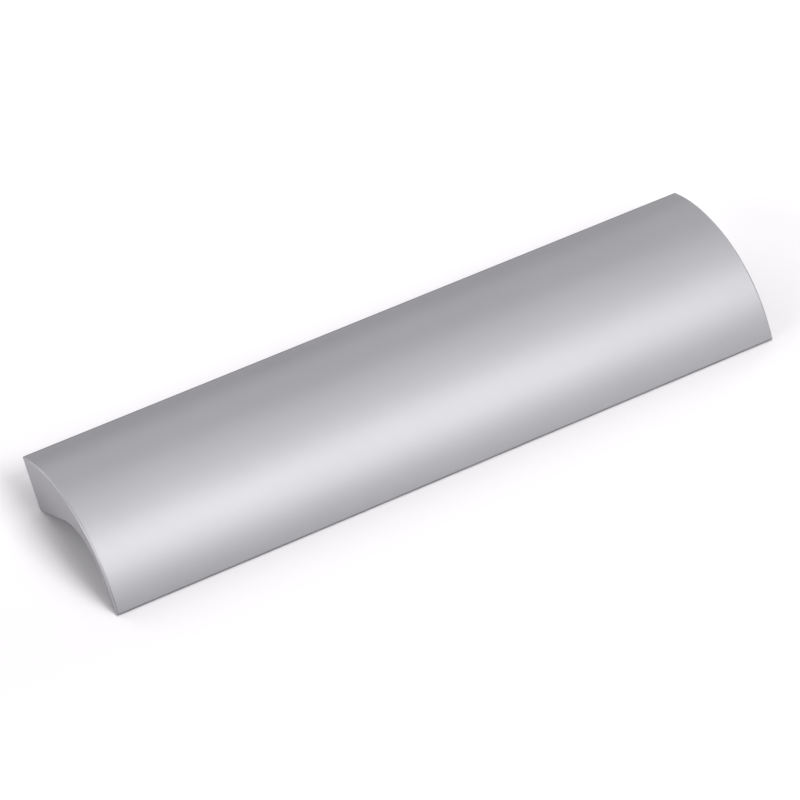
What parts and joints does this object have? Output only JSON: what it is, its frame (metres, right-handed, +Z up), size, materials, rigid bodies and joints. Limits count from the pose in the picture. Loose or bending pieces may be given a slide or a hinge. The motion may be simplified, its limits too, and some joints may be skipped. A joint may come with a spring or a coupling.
{
  "type": "furniture handle",
  "caption": "Solid profile handle for drawers and doors: an arched front that ends in a finger lip, and a foot with tapped holes for screws from inside the door.",
  "frame": {"origin": "on the floor, under the middle of the box of the loose handle, which lies on its toe and on the edge of its lip", "axes": "+X along the handle, -Y towards the side of the finger lip, +Y towards the mounting face, +Z up"},
  "size_m": [0.16, 0.0386, 0.0122],
  "materials": {
    "satin_anodised_aluminium": "satin, silver anodised, with no visible brushing"
  },
  "bodies": {
    "root": {"handle_profile": "satin_anodised_aluminium"}
  },
  "joints": []
}
